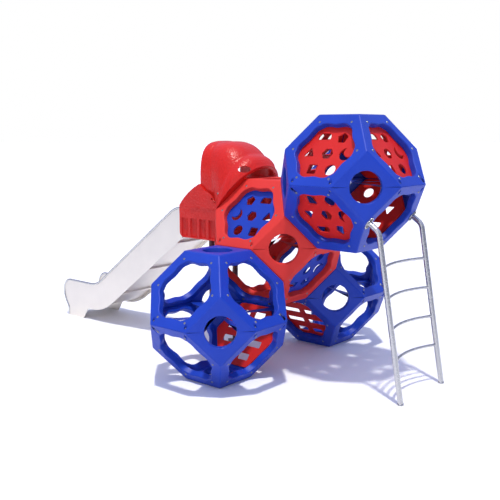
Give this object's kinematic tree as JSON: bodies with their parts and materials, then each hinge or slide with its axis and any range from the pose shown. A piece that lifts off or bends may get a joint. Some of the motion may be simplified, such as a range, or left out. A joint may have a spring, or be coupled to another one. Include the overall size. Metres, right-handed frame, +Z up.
{
  "type": "dome climber",
  "caption": "Playground climber of stacked hollow polyhedral balls with windows, perforated play panels, a bent tube ladder and a hooded stainless slide",
  "frame": {"origin": "on the ground, under the middle of the whole climber's box", "axes": "+Z up; the slide runs down towards -X +Y and the ladder stands towards +X -Y; the front ball is on the -Y side"},
  "size_m": [3.8578, 3.8579, 2.4],
  "materials": {
    "blue_shell": "blue moulded polyethylene with a fine orange-peel grain",
    "red_shell": "red moulded polyethylene with a fine orange-peel grain",
    "red_moulding": "red moulded polyethylene with a coarse pebbled grain",
    "red_panel": "red polyethylene sheet, satin",
    "blue_panel": "blue polyethylene sheet, satin",
    "slide_steel": "stainless sheet with a fine lengthwise grain",
    "ladder_steel": "satin stainless tube",
    "fastener": "bright stainless",
    "post_paint": "dark painted tube, satin"
  },
  "bodies": {
    "root": {"front_ball_upper_shell": "blue_shell", "front_ball_lower_shell": "blue_shell", "hub_ball_upper_shell": "red_shell", "hub_ball_lower_shell": "red_shell", "top_ball_upper_shell": "blue_shell", "top_ball_lower_shell": "blue_shell", "rear_ball_upper_shell": "blue_shell", "rear_ball_lower_shell": "blue_shell", "top_panel_front_left": "red_panel", "top_panel_front_right": "red_panel", "top_panel_back_left": "red_panel", "top_panel_back_right": "red_panel", "top_panel_under_front": "red_panel", "top_panel_under_back": "red_panel", "hub_panel_front": "blue_panel", "hub_panel_back": "blue_panel", "hub_panel_under_right": "blue_panel", "front_step_panel": "red_panel", "rear_step_panel": "red_panel", "front_corner_screws": "fastener", "hub_corner_screws": "fastener", "top_corner_screws": "fastener", "rear_corner_screws": "fastener", "front_seam_bolts": "fastener", "hub_seam_bolts": "fastener", "top_seam_bolts": "fastener", "rear_seam_bolts": "fastener", "front_joint_bolts": "fastener", "top_joint_bolts": "fastener", "rear_joint_bolts": "fastener", "ladder_rail_left": "ladder_steel", "ladder_rail_right": "ladder_steel", "ladder_rung_1": "ladder_steel", "ladder_rung_2": "ladder_steel", "ladder_rung_3": "ladder_steel", "ladder_rung_4": "ladder_steel", "ladder_plates": "ladder_steel", "ladder_bolts": "fastener", "slide_bed": "slide_steel", "slide_side_left": "slide_steel", "slide_side_right": "slide_steel", "slide_rail_left": "slide_steel", "slide_rail_right": "slide_steel", "slide_braces": "slide_steel", "slide_flange": "slide_steel", "slide_bolts": "fastener", "entry_box": "red_moulding", "hood_shell": "red_moulding", "hood_bolts": "fastener", "support_post_left": "post_paint", "support_post_right": "post_paint", "post_bolts": "fastener"}
  },
  "joints": []
}
